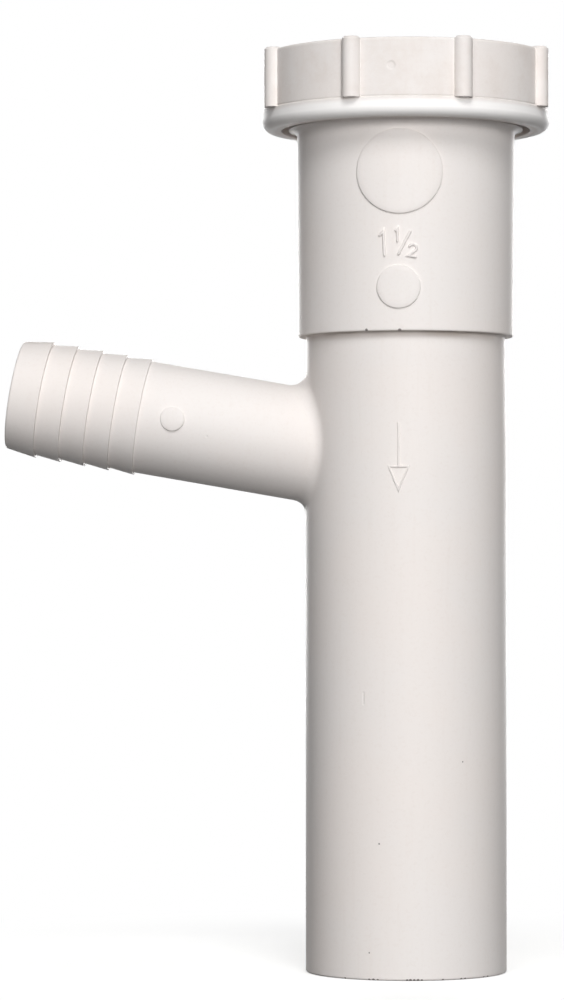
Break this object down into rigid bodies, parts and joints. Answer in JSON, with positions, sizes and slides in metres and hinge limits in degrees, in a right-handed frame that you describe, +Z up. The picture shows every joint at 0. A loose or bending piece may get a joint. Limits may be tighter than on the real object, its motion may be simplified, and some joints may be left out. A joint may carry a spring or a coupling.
{
  "type": "dishwasher branch tailpiece",
  "caption": "Slip-joint tailpiece tube with a socket and lugged slip nut at the top and a barbed drain-hose branch that rises from its side.",
  "frame": {"origin": "centre of the foot of the tube, on the tube's axis", "axes": "+Z up the tube's axis towards the nut; the branch points to -X and rises"},
  "size_m": [0.1038, 0.0548, 0.1744],
  "materials": {
    "moulding": "satin",
    "nut": "satin",
    "washer": "matte"
  },
  "bodies": {
    "tailpiece": {"tailpiece_body": "moulding"},
    "washer": {"slip_washer": "washer"},
    "nut": {"slip_nut": "nut"}
  },
  "joints": [
    {"name": "washer_lift", "type": "slide", "parent": "tailpiece", "child": "washer", "axis": [0, 0, 1], "range_m": [0, 0.01]},
    {"name": "nut_turn", "type": "hinge", "parent": "washer", "child": "nut", "pos_m": [0, 0, 0.17], "axis": [0, 0, 1], "range_deg": [0, 1620]}
  ],
  "couplings": [
    {"joint": "washer_lift", "follows": "nut_turn", "m_per_rad": 0.00035014}
  ]
}
